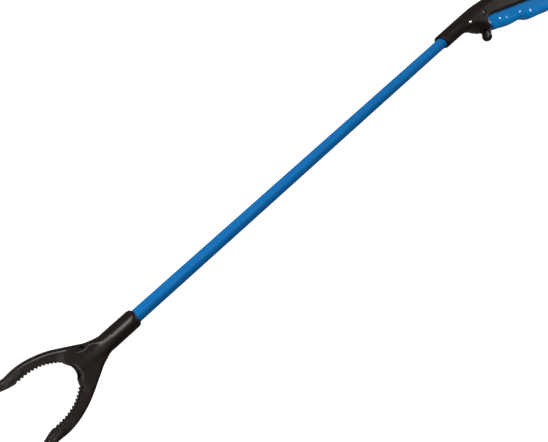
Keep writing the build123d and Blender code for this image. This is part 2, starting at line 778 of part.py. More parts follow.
with BuildPart() as trigger_drive_pin:
    with BuildSketch(MID.offset(0.2 - TRIGGER_T / 2)):
        with Locations(DRIVE_PIN):
            Circle(DRIVE_PIN_R)
    extrude(amount=TRIGGER_T - 0.4)
save(trigger_drive_pin, "trigger_drive_pin")

with BuildPart() as trigger_pivot_pin:
    with BuildSketch(MID.offset(0.3 - HANDLE_T / 2)):
        with Locations(TRIGGER_PIVOT):
            Circle(TRIGGER_PIN_R)
    extrude(amount=HANDLE_T - 0.6)
    chamfer(trigger_pivot_pin.edges().filter_by(GeomType.CIRCLE), 0.3)
save(trigger_pivot_pin, "trigger_pivot_pin")
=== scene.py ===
import json
import math

import bmesh
import bpy
import numpy as np
from mathutils import Matrix, Vector
from mathutils.geometry import delaunay_2d_cdt


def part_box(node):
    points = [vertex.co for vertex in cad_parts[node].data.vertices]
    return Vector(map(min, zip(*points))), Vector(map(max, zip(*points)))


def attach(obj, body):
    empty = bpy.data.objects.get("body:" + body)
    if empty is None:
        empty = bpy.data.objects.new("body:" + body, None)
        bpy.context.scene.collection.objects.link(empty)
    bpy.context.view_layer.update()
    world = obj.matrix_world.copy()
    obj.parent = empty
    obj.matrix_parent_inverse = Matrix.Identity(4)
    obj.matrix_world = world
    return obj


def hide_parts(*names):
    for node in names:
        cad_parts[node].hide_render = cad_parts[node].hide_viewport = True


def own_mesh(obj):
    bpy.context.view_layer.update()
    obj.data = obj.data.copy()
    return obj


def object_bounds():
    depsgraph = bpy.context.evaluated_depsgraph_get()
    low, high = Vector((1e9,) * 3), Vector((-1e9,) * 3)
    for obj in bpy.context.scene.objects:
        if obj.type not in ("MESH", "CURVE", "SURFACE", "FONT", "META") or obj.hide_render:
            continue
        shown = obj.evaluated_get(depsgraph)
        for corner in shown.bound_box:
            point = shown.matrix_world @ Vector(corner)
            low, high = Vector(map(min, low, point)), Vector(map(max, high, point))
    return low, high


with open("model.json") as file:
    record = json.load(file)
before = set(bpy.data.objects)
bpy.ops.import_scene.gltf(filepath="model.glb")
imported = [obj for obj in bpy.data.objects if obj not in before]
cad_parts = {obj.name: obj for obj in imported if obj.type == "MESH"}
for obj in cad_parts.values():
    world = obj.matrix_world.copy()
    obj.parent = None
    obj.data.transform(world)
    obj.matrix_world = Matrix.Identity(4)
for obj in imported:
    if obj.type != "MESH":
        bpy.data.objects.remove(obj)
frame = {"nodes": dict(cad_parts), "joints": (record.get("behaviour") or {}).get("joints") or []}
CAD_LOW, CAD_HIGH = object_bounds()

# The reacher grabber lies on its right side: +X runs from the jaws to the handle, +Y is the
# handle's top, +Z its left side. Shapes are drawn in millimetres and built in metres.
MM = 0.001
TUBE_LOW, TUBE_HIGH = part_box("shaft_tube")
SHAFT_Z = (TUBE_LOW.z + TUBE_HIGH.z) / 2
HEAD_DEPTH = 24.0
HEAD_X = TUBE_LOW.x / MM + HEAD_DEPTH
JOINTS = {j["name"]: j for j in frame["joints"]}
TUBE_BORE_R = 6.4
SCREW_SEAT_R = 2.7


# Curves and outlines ---------------------------------------------------------


def spline(points, start=None, end=None, step=0.8):
    """Points along the smooth curve through these, with end directions where given."""
    p = np.array(points, float)
    n = len(p)
    gap = np.linalg.norm(np.diff(p, axis=0), axis=1)
    left = np.zeros((n, n))
    right = np.zeros((n, 2))
    for i in range(1, n - 1):
        before, after = gap[i - 1], gap[i]
        left[i, i - 1 : i + 2] = after, 2 * (before + after), before
        right[i] = 3 * (after * (p[i] - p[i - 1]) / before + before * (p[i + 1] - p[i]) / after)
    for i, j, k, way in ((0, 1, 0, start), (n - 1, n - 2, n - 2, end)):
        left[i, i] = 1
        if way is None:
            left[i, i], left[i, j] = 2, 1
            right[i] = 3 * (p[k + 1] - p[k]) / gap[k]
        else:
            right[i] = np.array(way, float) / np.linalg.norm(way)
    slope = np.linalg.solve(left, right)
    out = [p[0]]
    for i in range(n - 1):
        count = max(2, int(round(gap[i] / step)))
        for t in np.linspace(0, 1, count + 1)[1:]:
            a, b = 2 * t**3 - 3 * t**2 + 1, t**3 - 2 * t**2 + t
            c, d = -2 * t**3 + 3 * t**2, t**3 - t**2
            out.append(a * p[i] + b * gap[i] * slope[i] + c * p[i + 1] + d * gap[i] * slope[i + 1])
    return [tuple(q) for q in out]


def line(a, b, step=1.2):
    """Evenly spaced points from a to b."""
    count = max(1, int(round(math.dist(a, b) / step)))
    return [tuple(q) for q in np.linspace(a, b, count + 1)]


def bend(a, b, c, step=0.6):
    """Points along the circular arc from a through b to c."""
    ax, ay, bx, by, cx, cy = *a, *b, *c
    d = 2 * (ax * (by - cy) + bx * (cy - ay) + cx * (ay - by))
    sa, sb, sc = ax * ax + ay * ay, bx * bx + by * by, cx * cx + cy * cy
    ux = (sa * (by - cy) + sb * (cy - ay) + sc * (ay - by)) / d
    uy = (sa * (cx - bx) + sb * (ax - cx) + sc * (bx - ax)) / d
    r = math.hypot(ax - ux, ay - uy)
    t0, t1, t2 = (math.atan2(q[1] - uy, q[0] - ux) for q in (a, b, c))
    sweep = (t2 - t0) % math.tau
    if (t1 - t0) % math.tau > sweep:
        sweep -= math.tau
    count = max(4, int(abs(sweep) * r / step))
    turn = np.linspace(t0, t0 + sweep, count + 1)
    return [(ux + r * math.cos(t), uy + r * math.sin(t)) for t in turn]


def around(centre, radius, angle):
    """The point at this radius and angle in degrees around a centre."""
    t = math.radians(angle)
    return centre[0] + radius * math.cos(t), centre[1] + radius * math.sin(t)


def circle(centre, radius, count=48):
    return [around(centre, radius, 360 * i / count) for i in range(count)]


def loop(*runs):
    """One closed outline from runs of points, anticlockwise, with repeats dropped."""
    pts = []
    for run in runs:
        for q in run:
            if not pts or math.dist(q, pts[-1]) > 1e-4:
                pts.append(q)
    if math.dist(pts[0], pts[-1]) < 1e-4:
        pts.pop()
    p = np.array(pts)
    nxt = np.roll(p, -1, axis=0)
    if np.sum(p[:, 0] * nxt[:, 1] - nxt[:, 0] * p[:, 1]) < 0:
        p = p[::-1]
    return p


def distance(points, run):
    """How far each point is from a run of points joined by straight pieces."""
    run = np.array(run, float)
    a, ab = run[:-1], np.diff(run, axis=0)
    size = np.maximum((ab**2).sum(1), 1e-12)
    best = np.full(len(points), 1e9)
    for i in range(0, len(points), 4000):
        q = points[i : i + 4000, None, :] - a[None]
        t = np.clip((q * ab[None]).sum(2) / size, 0, 1)
        d = np.linalg.norm(q - t[..., None] * ab[None], axis=2)
        best[i : i + 4000] = d.min(1)
    return best


def inside(points, outline):
    """Whether each point is inside a closed outline."""
    x, y = points[:, 0], points[:, 1]
    hit = np.zeros(len(points), bool)
    for (x0, y0), (x1, y1) in zip(outline, np.roll(outline, -1, axis=0)):
        if y0 != y1:
            cross = x0 + (y - y0) * (x1 - x0) / (y1 - y0)
            hit ^= ((y0 > y) != (y1 > y)) & (x < cross)
    return hit


def crown(d, reach, drop):
    """How far below full height an edge rounded over reach and drop is, at distance d."""
    t = np.clip(1 - d / reach, 0, 1)
    return drop * (1 - np.sqrt(1 - t * t))


def smooth_max(a, b, k):
    """The larger of a and b, blended where they are within k of each other."""
    t = np.clip(0.5 + 0.5 * (a - b) / k, 0, 1)
    return b + (a - b) * t + k * t * (1 - t)


def smooth_min(a, b, k):
    return -smooth_max(-a, -b, k)


# Mesh helpers ----------------------------------------------------------------


def make(name, verts, faces):
    """A mesh object from points in millimetres in the shared frame, and faces."""
    mesh = bpy.data.meshes.new(name)
    mesh.from_pydata([tuple(c * MM for c in v) for v in verts], [], faces)
    mesh.validate()
    obj = bpy.data.objects.new(name, mesh)
    bpy.context.scene.collection.objects.link(obj)
    return obj


SPOT_RINGS = np.arange(0.6, 5.0, 0.6)
RINGS = (0.06, 0.25, 0.6, 1.1, 1.8, 2.7, 3.8, 5.1, 6.6, 8.4)


def relief(name, outline, height, side, rings=RINGS, grid=2.2, groove=0.12, spots=()):
    """A body over an outline, as thick above the middle plane as height(points) says.

    side is 1 for a left half, -1 for a right half, 0 for a body alike on both sides. A half
    has its parting edge drawn in by groove at the middle plane. The mesh follows the outline
    at the distances in rings, and is finer round each of the spots."""
    n = len(outline)
    along = np.roll(outline, -1, axis=0) - np.roll(outline, 1, axis=0)
    along /= np.linalg.norm(along, axis=1)[:, None]
    normal = np.stack([-along[:, 1], along[:, 0]], 1)
    closed = np.vstack([outline, outline[:1]])
    extra = []
    for d in rings:
        keep = 1 if d < 1.5 else 2
        p = outline[::keep] + normal[::keep] * d
        p = p[inside(p, outline)]
        extra.append(p[distance(p, closed) > d * 0.9])
    low, high = outline.min(0), outline.max(0)
    rows = np.arange(low[1], high[1], grid)
    columns = np.arange(low[0], high[0], grid)
    field = np.array([(x + (j % 2) * grid / 2, y) for j, y in enumerate(rows) for x in columns])
    field = field[inside(field, outline)]
    for spot in spots:
        field = field[np.hypot(*(field - spot).T) > SPOT_RINGS[-1] + grid / 3]
        near = [around(spot, r, a) for r in SPOT_RINGS for a in range(0, 360, 20)]
        extra.append(np.array([spot] + near))
    extra.append(field[distance(field, closed) > rings[-1] + grid * 0.5])
    points = [Vector(q) for q in np.vstack([outline, *extra])]
    edges = [(i, (i + 1) % n) for i in range(n)]
    flat, _, tris, origin, _, _ = delaunay_2d_cdt(points, edges, [], 1, 1e-5)
    flat = np.array([tuple(v) for v in flat])
    heights = np.maximum(height(flat), 0.3)
    rim = [0] * n
    for v, sources in enumerate(origin):
        for k in sources:
            if k < n:
                rim[k] = v
    z0 = SHAFT_Z / MM
    count = len(flat)
    upper = [(x, y, z0 + h) for (x, y), h in zip(flat, heights)]
    around_rim = [(i, (i + 1) % n) for i in range(n)]
    if side == 0:
        lower = [(x, y, z0 - h) for (x, y), h in zip(flat, heights)]
        faces = [tuple(t) for t in tris] + [tuple(count + k for k in t)[::-1] for t in tris]
        faces += [(count + rim[i], count + rim[j], rim[j], rim[i]) for i, j in around_rim]
        return make(name, upper + lower, faces)
    drawn_in = outline + normal * groove
    wall = [(x, y, z0 + 0.25) for x, y in outline]
    base = [(x, y, z0) for x, y in drawn_in]
    w, b = count, count + n
    faces = [tuple(t) for t in tris]
    faces += [(w + i, w + j, rim[j], rim[i]) for i, j in around_rim]
    faces += [(b + i, b + j, w + j, w + i) for i, j in around_rim]
    foot = [Vector(q) for q in drawn_in]
    _, _, under_tris, source, _, _ = delaunay_2d_cdt(foot, edges, [], 1, 1e-6)
    faces += [tuple(b + source[k][0] for k in t)[::-1] for t in under_tris]
    verts = upper + wall + base
    if side < 0:
        verts = [(x, y, 2 * z0 - z) for x, y, z in verts]
        faces = [f[::-1] for f in faces]
    return make(name, verts, faces)


def prism(name, outline, z0, z1):
    """A straight block over an outline between two heights in millimetres."""
    n = len(outline)
    verts = [(x, y, z0) for x, y in outline] + [(x, y, z1) for x, y in outline]
    faces = [tuple(range(n))[::-1], tuple(range(n, 2 * n))]
    faces += [(i, (i + 1) % n, n + (i + 1) % n, n + i) for i in range(n)]
    return make(name, verts, faces)


def rod_along(name, x0, x1, y, z, radius, count=64):
    """A round bar along X."""
    ring = [around((y, z), radius, 360 * i / count) for i in range(count)]
    verts = [(x0, *q) for q in ring] + [(x1, *q) for q in ring]
    faces = [tuple(range(count))[::-1], tuple(range(count, 2 * count))]
    faces += [(i, (i + 1) % count, count + (i + 1) % count, count + i) for i in range(count)]
    return make(name, verts, faces)


def baked(obj):
    """Applies an object's modifiers."""
    dg = bpy.context.evaluated_depsgraph_get()
    mesh = bpy.data.meshes.new_from_object(obj.evaluated_get(dg))
    obj.modifiers.clear()
    obj.data = mesh
    mesh.name = obj.name
    return obj


def combine(obj, cutters, operation="DIFFERENCE"):
    """Cuts the cutters out of a body, or joins them to it, and removes them."""
    for cutter in cutters:
        mod = obj.modifiers.new("cut", "BOOLEAN")
        mod.operation = operation
        mod.solver = "EXACT"
        mod.object = cutter
        baked(obj)
        bpy.data.objects.remove(cutter)
    return obj


def tidy_mesh(obj, angle=38):
    """Merges doubled points and shades smooth, but for edges sharper than angle."""
    bm = bmesh.new()
    bm.from_mesh(obj.data)
    bmesh.ops.remove_doubles(bm, verts=bm.verts, dist=2e-6)
    bmesh.ops.dissolve_degenerate(bm, edges=bm.edges, dist=1e-6)
    bmesh.ops.recalc_face_normals(bm, faces=bm.faces)
    for f in bm.faces:
        f.smooth = True
    bm.to_mesh(obj.data)
    bm.free()
    obj.data.set_sharp_from_angle(angle=math.radians(angle))
    return obj


# Materials ---------------------------------------------------------------------


class Finish:
    """A node material built from a Principled shader."""

    def __init__(self, name):
        self.mat = bpy.data.materials.new(name)
        self.mat.use_nodes = True
        self.tree = self.mat.node_tree
        self.shader = self.tree.nodes["Principled BSDF"]
        self.coords = self.add("ShaderNodeTexCoord").outputs["Object"]

    def add(self, kind, **settings):
        node = self.tree.nodes.new(kind)
        for key, value in settings.items():
            if key in node.inputs:
                node.inputs[key].default_value = value
            else:
                setattr(node, key, value)
        return node

    def link(self, out, socket):
        self.tree.links.new(out, socket)

    def stretched(self, x, y, z):
        node = self.add("ShaderNodeMapping")
        node.inputs["Scale"].default_value = (x, y, z)
        self.link(self.coords, node.inputs["Vector"])
        return node.outputs["Vector"]

    def noise(self, scale, detail=3.0, rough=0.55, at=None):
        node = self.add("ShaderNodeTexNoise", Scale=scale, Detail=detail, Roughness=rough)
        self.link(at or self.coords, node.inputs["Vector"])
        return node.outputs["Fac"]

    def ramp(self, value, low, high, colour_low, colour_high):
        node = self.add("ShaderNodeValToRGB")
        node.color_ramp.elements[0].position = low
        node.color_ramp.elements[1].position = high
        node.color_ramp.elements[0].color = (*colour_low, 1)
        node.color_ramp.elements[1].color = (*colour_high, 1)
        self.link(value, node.inputs["Fac"])
        return node.outputs["Color"]

    def range(self, value, low, high):
        node = self.add("ShaderNodeMapRange")
        node.inputs["To Min"].default_value = low
        node.inputs["To Max"].default_value = high
        self.link(value, node.inputs["Value"])
        return node.outputs["Result"]

    def mix(self, factor, a, b):
        node = self.add("ShaderNodeMix", data_type="RGBA")
        self.link(factor, node.inputs[0])
        for value, socket in ((a, node.inputs[6]), (b, node.inputs[7])):
            if isinstance(value, tuple):
                socket.default_value = (*value, 1)
            else:
                self.link(value, socket)
        return node.outputs[2]

    def worn(self, radius):
        """1 along convex edges, 0 on flat faces, broken up by noise."""
        bevel = self.add("ShaderNodeBevel", samples=4)
        bevel.inputs["Radius"].default_value = radius
        geometry = self.add("ShaderNodeNewGeometry")
        dot = self.add("ShaderNodeVectorMath", operation="DOT_PRODUCT")
        self.link(bevel.outputs["Normal"], dot.inputs[0])
        self.link(geometry.outputs["Normal"], dot.inputs[1])
        edge = self.add("ShaderNodeMapRange")
        edge.inputs["From Min"].default_value = 0.995
        edge.inputs["From Max"].default_value = 0.86
        self.link(dot.outputs["Value"], edge.inputs["Value"])
        breakup = self.range(self.noise(900, 4), -0.2, 1.2)
        mul = self.add("ShaderNodeMath", operation="MULTIPLY", use_clamp=True)
        self.link(edge.outputs["Result"], mul.inputs[0])
        self.link(breakup, mul.inputs[1])
        return mul.outputs[0]

    def bump(self, *layers):
        """Layers of (height, distance in metres, strength)."""
        last = None
        for value, far, strength in layers:
            node = self.add("ShaderNodeBump")
            node.inputs["Distance"].default_value = far
            node.inputs["Strength"].default_value = strength
            self.link(value, node.inputs["Height"])
            if last:
                self.link(last, node.inputs["Normal"])
            last = node.outputs["Normal"]
        self.link(last, self.shader.inputs["Normal"])

    def set(self, **values):
        for key, value in values.items():
            socket = self.shader.inputs[key.replace("_", " ")]
            if hasattr(value, "is_linked") or hasattr(value, "links"):
                self.link(value, socket)
            else:
                socket.default_value = value


def black_plastic():
    """Warm black moulded nylon with a fine spark-eroded grain and slightly polished edges."""
    f = Finish("black_plastic")
    dark, light = (0.0072, 0.0038, 0.0022), (0.0090, 0.0052, 0.0033)
    base = f.ramp(f.noise(38, 3), 0.35, 0.68, dark, light)
    colour = f.mix(f.worn(0.0007), base, (0.012, 0.009, 0.007))
    f.set(Base_Color=colour, Roughness=f.range(f.noise(160, 4), 0.27, 0.35))
    f.set(Specular_IOR_Level=0.28, IOR=1.5)
    grain = f.noise(2600, 2, 0.6)
    f.bump((grain, 0.00006, 0.35), (f.noise(240, 2), 0.00012, 0.12))
    return f.mat


def blue_tube():
    """Satin blue anodised tube: fine lines drawn along it, and a little mottling."""
    f = Finish("blue_tube")
    base = f.ramp(f.noise(30, 4), 0.3, 0.7, (0.0036, 0.083, 0.243), (0.0042, 0.092, 0.264))
    drawn = f.noise(1.0, 3, 0.6, f.stretched(14, 2600, 2600))
    colour = f.mix(f.range(drawn, 0.0, 0.22), base, (0.0016, 0.115, 0.31))
    f.set(Base_Color=colour, Roughness=f.range(drawn, 0.42, 0.56), Metallic=0.10)
    f.set(Specular_IOR_Level=0.04)
    f.bump((drawn, 0.00003, 0.30), (f.noise(420, 3), 0.00004, 0.15))
    return f.mat


def blue_plastic():
    """Glossy blue moulded plastic with the faint ripple of a polished mould."""
    f = Finish("blue_plastic")
    base = f.ramp(f.noise(26, 3), 0.3, 0.7, (0.0003, 0.128, 0.362), (0.0004, 0.141, 0.396))
    colour = f.mix(f.worn(0.0008), base, (0.008, 0.13, 0.38))
    f.set(Base_Color=colour, Roughness=f.range(f.noise(220, 4), 0.16, 0.24))
    f.set(Specular_IOR_Level=0.26, Coat_Weight=0.12, Coat_Roughness=0.07)
    f.bump((f.noise(170, 2), 0.00010, 0.10), (f.noise(1900, 2), 0.00002, 0.15))
    return f.mat


def steel():
    """Bright plated steel with turning marks."""
    f = Finish("steel")
    base = f.ramp(f.noise(420, 4), 0.35, 0.7, (0.50, 0.50, 0.49), (0.66, 0.66, 0.65))
    f.set(Base_Color=base, Metallic=1.0, Roughness=f.range(f.noise(1500, 4), 0.16, 0.34))
    f.bump((f.noise(2200, 3), 0.00002, 0.35))
    return f.mat


def dull_steel():
    """Steel left plain and a little tarnished."""
    f = Finish("dull_steel")
    base = f.ramp(f.noise(380, 4), 0.3, 0.7, (0.09, 0.087, 0.084), (0.13, 0.127, 0.123))
    f.set(Base_Color=base, Metallic=1.0, Roughness=f.range(f.noise(1300, 4), 0.42, 0.58))
    f.bump((f.noise(2000, 3), 0.00002, 0.4))
    return f.mat


def nylon():
    """Milky natural nylon."""
    f = Finish("nylon")
    base = f.ramp(f.noise(200, 3), 0.3, 0.7, (0.60, 0.58, 0.52), (0.68, 0.66, 0.60))
    f.set(Base_Color=base, Roughness=f.range(f.noise(600, 3), 0.38, 0.5))
    f.set(Subsurface_Weight=0.15, Subsurface_Scale=0.001)
    f.bump((f.noise(1800, 3), 0.00003, 0.3))
    return f.mat


FINISHES = {
    "black": black_plastic(),
    "blue_tube": blue_tube(),
    "blue_plastic": blue_plastic(),
    "steel": steel(),
    "nylon": nylon(),
}
DULL_STEEL = dull_steel()


def dress(obj, slot, body, *stands_for):
    """Gives a new piece its finish, its body, and the CAD nodes it stands for."""
    obj.data.materials.clear()
    obj.data.materials.append(FINISHES[slot])
    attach(obj, body)
    if stands_for:
        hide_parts(*stands_for)
    return obj


# Head ---------------------------------------------------------------------------

JAW_PIVOT = (-62.0, 9.0)
HEAD_T = 14.6
COLLAR_R = 8.9
CHEEK_R = 11.45
CHEEK_GAP = 9.0
SPRING_BORE_R = 4.9
HEAD_SCREWS = ((-48.3, 7.4), (-48.3, -7.4))
LOCK_SCREW_X = 9


def at_head(points):
    """Points measured from the head's datum, moved to the shared frame."""
    return np.array(points, float) + (HEAD_X, 0)


def flip(points):
    return [(x, -y) for x, y in points]


def hermite(x, x0, x1, y0, y1, m0=0.0, m1=0.0):
    """A smooth step from y0 at x0 to y1 at x1 with end slopes."""
    t = np.clip((x - x0) / (x1 - x0), 0, 1)
    h = x1 - x0
    return (
        (2 * t**3 - 3 * t**2 + 1) * y0
        + (t**3 - 2 * t**2 + t) * m0 * h
        + (-2 * t**3 + 3 * t**2) * y1
        + (t**3 - t**2) * m1 * h
    )


CHEEK_OUTER = around(JAW_PIVOT, CHEEK_R, 103.5)
CHEEK_INNER = around(JAW_PIVOT, CHEEK_R, 187)
collar_end = bend((-2, 4.9), around((-6, 4.9), 4.0, 45), (-6, 8.9))
flank = spline(
    [(-30, 8.9), (-37, 8.85), (-44, 9.8), (-51, 12.1), (-57, 15.6), CHEEK_OUTER],
    (-1, 0),
    (-0.83, 0.55),
)
scooped = spline(
    [
        (-30, 8.9),
        (-37, 8.85),
        (-44, 9.8),
        (-48.2, 10.9),
        (-50.4, 11.3),
        (-53.2, 10.7),
        (-56.8, 10.9),
        (-60.4, 12.4),
        (-63.0, 15.0),
        CHEEK_OUTER,
    ],
    (-1, 0),
    (-0.3, 0.95),
)
cheek_arc = bend(CHEEK_OUTER, around(JAW_PIVOT, CHEEK_R, 145), CHEEK_INNER)
mouth_edge = spline([CHEEK_INNER, (-71.2, 4.2), (-70.5, 0)], (0.7, -0.7), (0, -1))
plain_half, scooped_half = (
    collar_end + line((-6, 8.9), (-30, 8.9)) + run + cheek_arc + mouth_edge
    for run in (flank, scooped)
)
flank_rim, scooped_rim = at_head(flank), at_head(scooped)
arc_rim, mouth_rim = at_head(cheek_arc), at_head(mouth_edge)


def head_height(p, side):
    """Half thickness of the head: a round collar that melts into flat cheeks."""
    x, y = p[:, 0] - HEAD_X, np.abs(p[:, 1])
    on_scoop = p[:, 1] * side > 0
    rounding = np.sqrt(np.clip(16 - (np.clip(x, -6, -2) + 6) ** 2, 0, 16))
    collar = np.where(x > -6, 4.9 + rounding, COLLAR_R)
    collar = np.where(x < -30, hermite(x, -30, -60, COLLAR_R, 6.4, 0, 0.03), collar)
    barrel = np.sqrt(np.clip(collar**2 - y**2, 0, None))
    bell = hermite(x, -36, -50, 8.7, 15, 0, -1.0) + np.clip(-50 - x, 0, None) * 2.4
    dome = np.sqrt(np.clip(bell**2 - y**2, 0, None))
    q = np.stack([p[:, 0], y], 1)
    reach = np.where(on_scoop, hermite(x, -52, -46, 1.3, 2.6), 2.6)
    edge = np.where(on_scoop, distance(q, scooped_rim), distance(q, flank_rim))
    plate = HEAD_T / 2 - crown(edge, reach, reach - 0.3)
    plate -= crown(distance(q, arc_rim), 0.25, 0.12) + crown(distance(q, mouth_rim), 2.4, 1.8)
    plate = smooth_min(plate, dome, 1.6)
    return np.where(x < -30, smooth_max(barrel, plate, 2.6), barrel)


def head_shell(name, side):
    """One half of the head, bored for the tube and spring and open for the jaws."""
    halves = (scooped_half, plain_half)[::side]
    outline = loop(at_head(halves[0]), at_head(flip(halves[1][::-1])))
    shell = relief(name + "_moulded", outline, lambda p: head_height(p, side), side, grid=1.8)
    z0 = SHAFT_Z / MM
    z1 = z0 + side * CHEEK_GAP / 2
    gap = [(HEAD_X + x, y) for x, y in ((-95, -60), (-53.5, -60), (-53.5, 60), (-95, 60))]
    post = [(HEAD_X + x, y) for x, y in ((-70.3, -2), (-68.5, -2), (-68.5, 2), (-70.3, 2))]
    low, high = sorted((z0 - side * 2, z1))
    cutters = [
        rod_along("bore", HEAD_X - 26, HEAD_X + 6, 0, z0, TUBE_BORE_R),
        rod_along("spring_bore", HEAD_X - 58, HEAD_X - 25, 0, z0, SPRING_BORE_R),
        prism("gap", gap, low, high),
    ]
    if side < 0:
        for x, y in HEAD_SCREWS:
            seat = circle((HEAD_X + x, y), SCREW_SEAT_R)
            cutters.append(prism("seat", seat, z0 - 9, z0 - 5.3))
        lock_seat = circle((HEAD_X - LOCK_SCREW_X, 0), SCREW_SEAT_R)
        cutters.append(prism("lock_seat", lock_seat, z0 - 10, z0 - 7.7))
    combine(shell, cutters)
    low, high = sorted((z0 + side * 0.02, z1 + side * 0.4))
    combine(shell, [prism("post", post, low, high)], "UNION")
    return dress(tidy_mesh(shell), "black", "frame", name)


# Jaws ----------------------------------------------------------------------------

JAW_HALF_T = 6.5
TONGUE_T = 8.4
JAW_ARM = 6.4
JAW_LEAN = JOINTS["upper_jaw_close"]["range_deg"][1] / 2
SHOULDER_R = 11.62
TOOTH_COUNT = 12
TOOTH_DEPTH = 1.4
TOOTH_SHAPE = (
    (0, 0),
    (0.12, 0.06),
    (0.34, 0.52),
    (0.55, 0.93),
    (0.66, 1.0),
    (0.76, 0.9),
    (0.9, 0.2),
)
JAW_RINGS = (0.08, 0.25, 0.55, 0.95, 1.5, 2.3, 3.2, 4.3, 5.6)
RIB_RISE, RIB_SPREAD = 0.5, 0.8
HEEL_RISE, HEEL_SPREAD = 0.75, 5
TAIL_R = 2.3
JAW_HOLE_R = 2.05
TAIL_HOLE_R = 1.4
SHOULDER_OUTER = around(JAW_PIVOT, SHOULDER_R, 104.5)
SHOULDER_INNER = around(JAW_PIVOT, SHOULDER_R, 185)

jaw_back = spline(
    [
        SHOULDER_OUTER,
        (-70, 23.3),
        (-78, 27.7),
        (-89, 31.9),
        (-102, 34.6),
        (-111, 34.9),
        (-118, 34.3),
    ],
    (-0.85, 0.53),
    (-1, -0.02),
)
jaw_flare = spline([(-118, 34.3), (-127, 36.4), (-136, 40.2)], (-1, 0.06), (-0.88, 0.47))
jaw_tip = bend((-136, 40.2), (-139.36, 38.0), (-138.2, 33.9))
jaw_pad = spline(
    [(-138.2, 33.9), (-127.4, 29.5), (-121, 27.3), (-114.2, 25.9)], (0.93, -0.36), (0.99, -0.1)
)
jaw_root = spline(
    [
        (-112.0, 26.9),
        (-108, 27.0),
        (-101.5, 26.7),
        (-94.8, 25.4),
        (-88.6, 23.3),
        (-82, 19.7),
        (-76.0, 15.3),
    ],
    step=0.25,
)
jaw_throat = spline([(-76.0, 15.3), (-75.0, 11.8), SHOULDER_INNER])
jaw_shoulder = bend(SHOULDER_INNER, around(JAW_PIVOT, SHOULDER_R, 145), SHOULDER_OUTER)


def toothed(run):
    """A run of points with rounded saw teeth standing on its right-hand side."""
    run = np.array(run)
    step = np.linalg.norm(np.diff(run, axis=0), axis=1)
    s = np.concatenate([[0], np.cumsum(step)])
    way = np.gradient(run, s, axis=0)
    out = []
    for tooth in range(TOOTH_COUNT):
        for part, high in TOOTH_SHAPE:
            at = (tooth + part) / TOOTH_COUNT * s[-1]
            foot = [np.interp(at, s, run[:, k]) for k in (0, 1)]
            tx, ty = (np.interp(at, s, way[:, k]) for k in (0, 1))
            out.append((foot[0] + ty * high * TOOTH_DEPTH, foot[1] - tx * high * TOOTH_DEPTH))
    return out + [tuple(run[-1])]


def jaw(name, sign):
    """One jaw; sign is 1 for the upper and -1 for the lower."""

    def placed(points):
        return at_head(points) * (1, sign)

    teeth = toothed(jaw_root)
    runs = (jaw_back, jaw_flare, jaw_tip, jaw_pad, teeth, jaw_throat, jaw_shoulder)
    outline = loop(*(placed(run) for run in runs))
    back, tip = placed(jaw_back + jaw_flare), placed(jaw_tip)
    bite = placed(jaw_pad + teeth + jaw_throat)
    heel = placed(jaw_shoulder)
    rib = placed([(-118.5, 30.6), (-112, 30.5), (-107, 30.7)])

    def height(p):
        x = p[:, 0] - HEAD_X
        reach = hermite(x, -104, -82, 1.4, 2.6)
        h = JAW_HALF_T - crown(distance(p, back), reach, reach - 0.2)
        h += RIB_RISE * np.exp(-((distance(p, rib) / RIB_SPREAD) ** 2) / 2)
        h -= crown(distance(p, tip), 2.2, 2.0)
        h += HEEL_RISE * np.exp(-((distance(p, heel) / HEEL_SPREAD) ** 2))
        h -= crown(distance(p, bite), 0.15, 0.1)
        h -= crown(distance(p, heel), 0.25, 0.12)
        return h

    body = relief(name + "_moulded", outline, height, 0, grid=1.6, rings=JAW_RINGS)
    z0 = SHAFT_Z / MM
    web = [(-66.2, 4.8), (-73.2, 8.8), (-74.4, 13.5), (-72.9, 17.8)]
    web += [(-70.2, 19.4), (-66.8, 16.4), (-60, 14.6)]
    tail_mid = around(JAW_PIVOT, JAW_ARM, 270 - JAW_LEAN)
    half = TONGUE_T / 2
    tail = tail_outline(JAW_PIVOT, tail_mid, TAIL_R)
    parts = [
        prism("web", placed(web)[::sign], z0 - half, z0 + half),
        prism("eye", placed(circle(JAW_PIVOT, 6.0, 64))[::sign], z0 - half, z0 + half),
        prism("tail", placed(tail)[::sign], z0 - half, z0 + half),
    ]
    combine(body, parts, "UNION")
    slot = [(-74, -5.4), (-50, -5.4), (-50, 6.8), (-74, 6.8)]
    clear = prism("crosshead_way", placed(slot)[::sign], z0 - 1.5, z0 + 1.5)
    combine(clear, [prism("hub", placed(circle(JAW_PIVOT, 3.7))[::sign], z0 - 3, z0 + 3)])
    holes = [
        clear,
        prism("pivot_hole", placed(circle(JAW_PIVOT, JAW_HOLE_R))[::sign], z0 - 9, z0 + 9),
        prism("tail_hole", placed(circle(tail_mid, TAIL_HOLE_R))[::sign], z0 - 9, z0 + 9),
    ]
    combine(body, holes)
    return dress(tidy_mesh(body), "black", name, name)


def tail_outline(a, b, radius):
    """A slot shape of this radius from a to b."""
    angle = math.degrees(math.atan2(b[1] - a[1], b[0] - a[0]))
    first = [around(a, radius, angle + 90 + t) for t in range(0, 181, 15)]
    return first + [around(b, radius, angle - 90 + t) for t in range(0, 181, 15)]


# Handle ---------------------------------------------------------------------------

MOUTH_X, MOUTH_TOP, MOUTH_LOW, MOUTH_RAKE = -52.0, 9.7, -8.3, 2.2
HALF_T = SHAFT_Z / MM
KNOB_AT, KNOB_R = (17.3, -31.8), 6.0
PIVOT_AT = tuple(c / MM for c in JOINTS["trigger_squeeze"]["pos_m"][:2])
RIVET_AT = (-6.5, -1.5)
RIVET_SUNK = 1.1
RIVET_SEAT_R = 2.8
PIN_SEAT_R = 3.8
PIN_HOLE_R = 2.52
CHANNEL_HALF = 8.7
HANDLE_SCREWS = ((-0.8, -9.7), (38.0, 1.6), (96.0, -7.0), (150.0, -18.0))
HANDLE_SCREW_SEAT = 2.3

